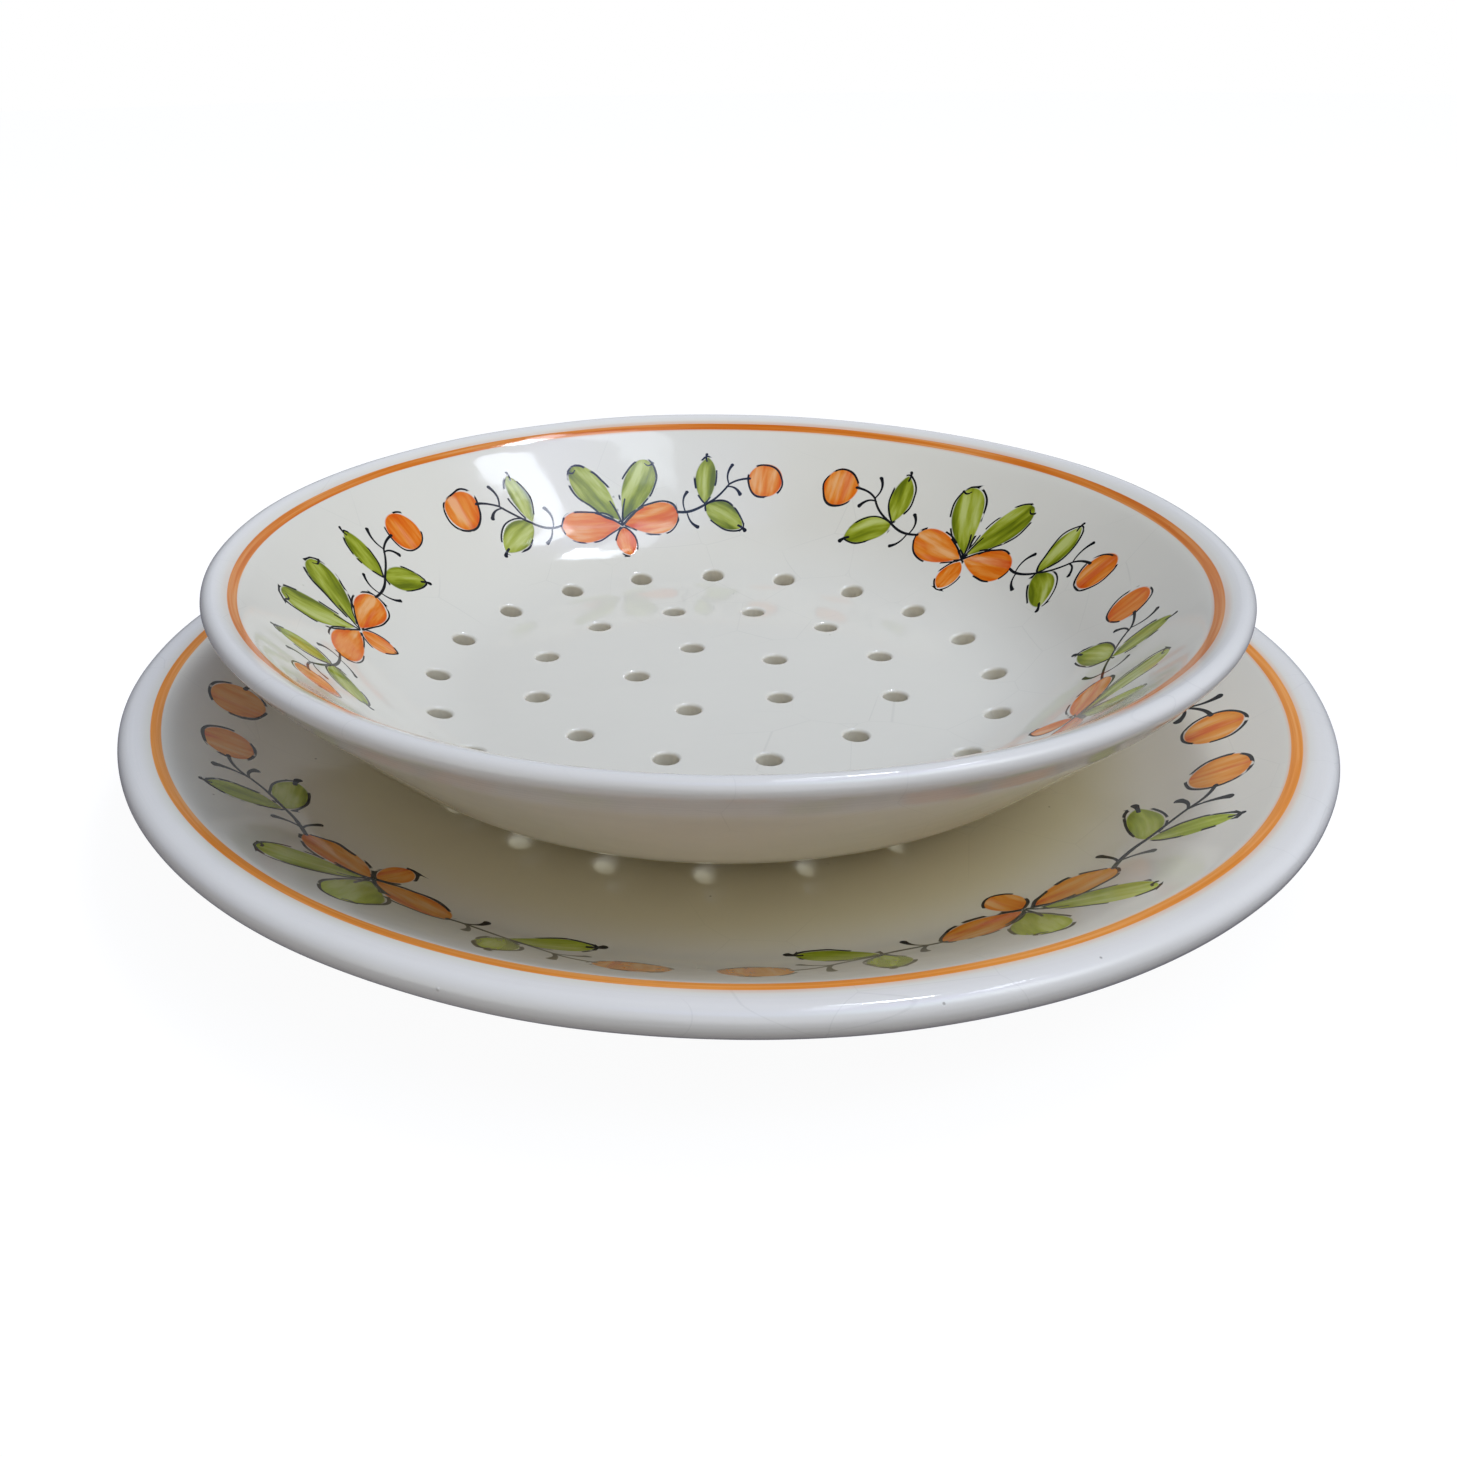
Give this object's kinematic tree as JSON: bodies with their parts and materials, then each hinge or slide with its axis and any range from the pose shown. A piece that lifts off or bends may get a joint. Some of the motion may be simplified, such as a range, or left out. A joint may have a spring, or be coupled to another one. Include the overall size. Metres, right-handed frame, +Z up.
{
  "type": "berry colander bowl",
  "caption": "Shallow round earthenware drainer bowl with rings of drain holes, standing on its own wide plate; both glazed white with a painted garland and stripe.",
  "frame": {"origin": "middle of the plate's foot ring, on the surface that the object stands on", "axes": "+Z straight up through the middle of the plate and the bowl; +Y away from the picture's camera and +X to its right"},
  "size_m": [0.27, 0.27, 0.0556],
  "materials": {
    "plate_glaze": "gloss",
    "bowl_glaze": "gloss"
  },
  "bodies": {
    "plate": {"plate": "plate_glaze"},
    "bowl": {"colander_bowl": "bowl_glaze"}
  },
  "joints": [
    {"name": "bowl_lift", "type": "slide", "parent": "plate", "child": "bowl", "axis": [0, 0, 1], "range_m": [0, 0.15]}
  ]
}
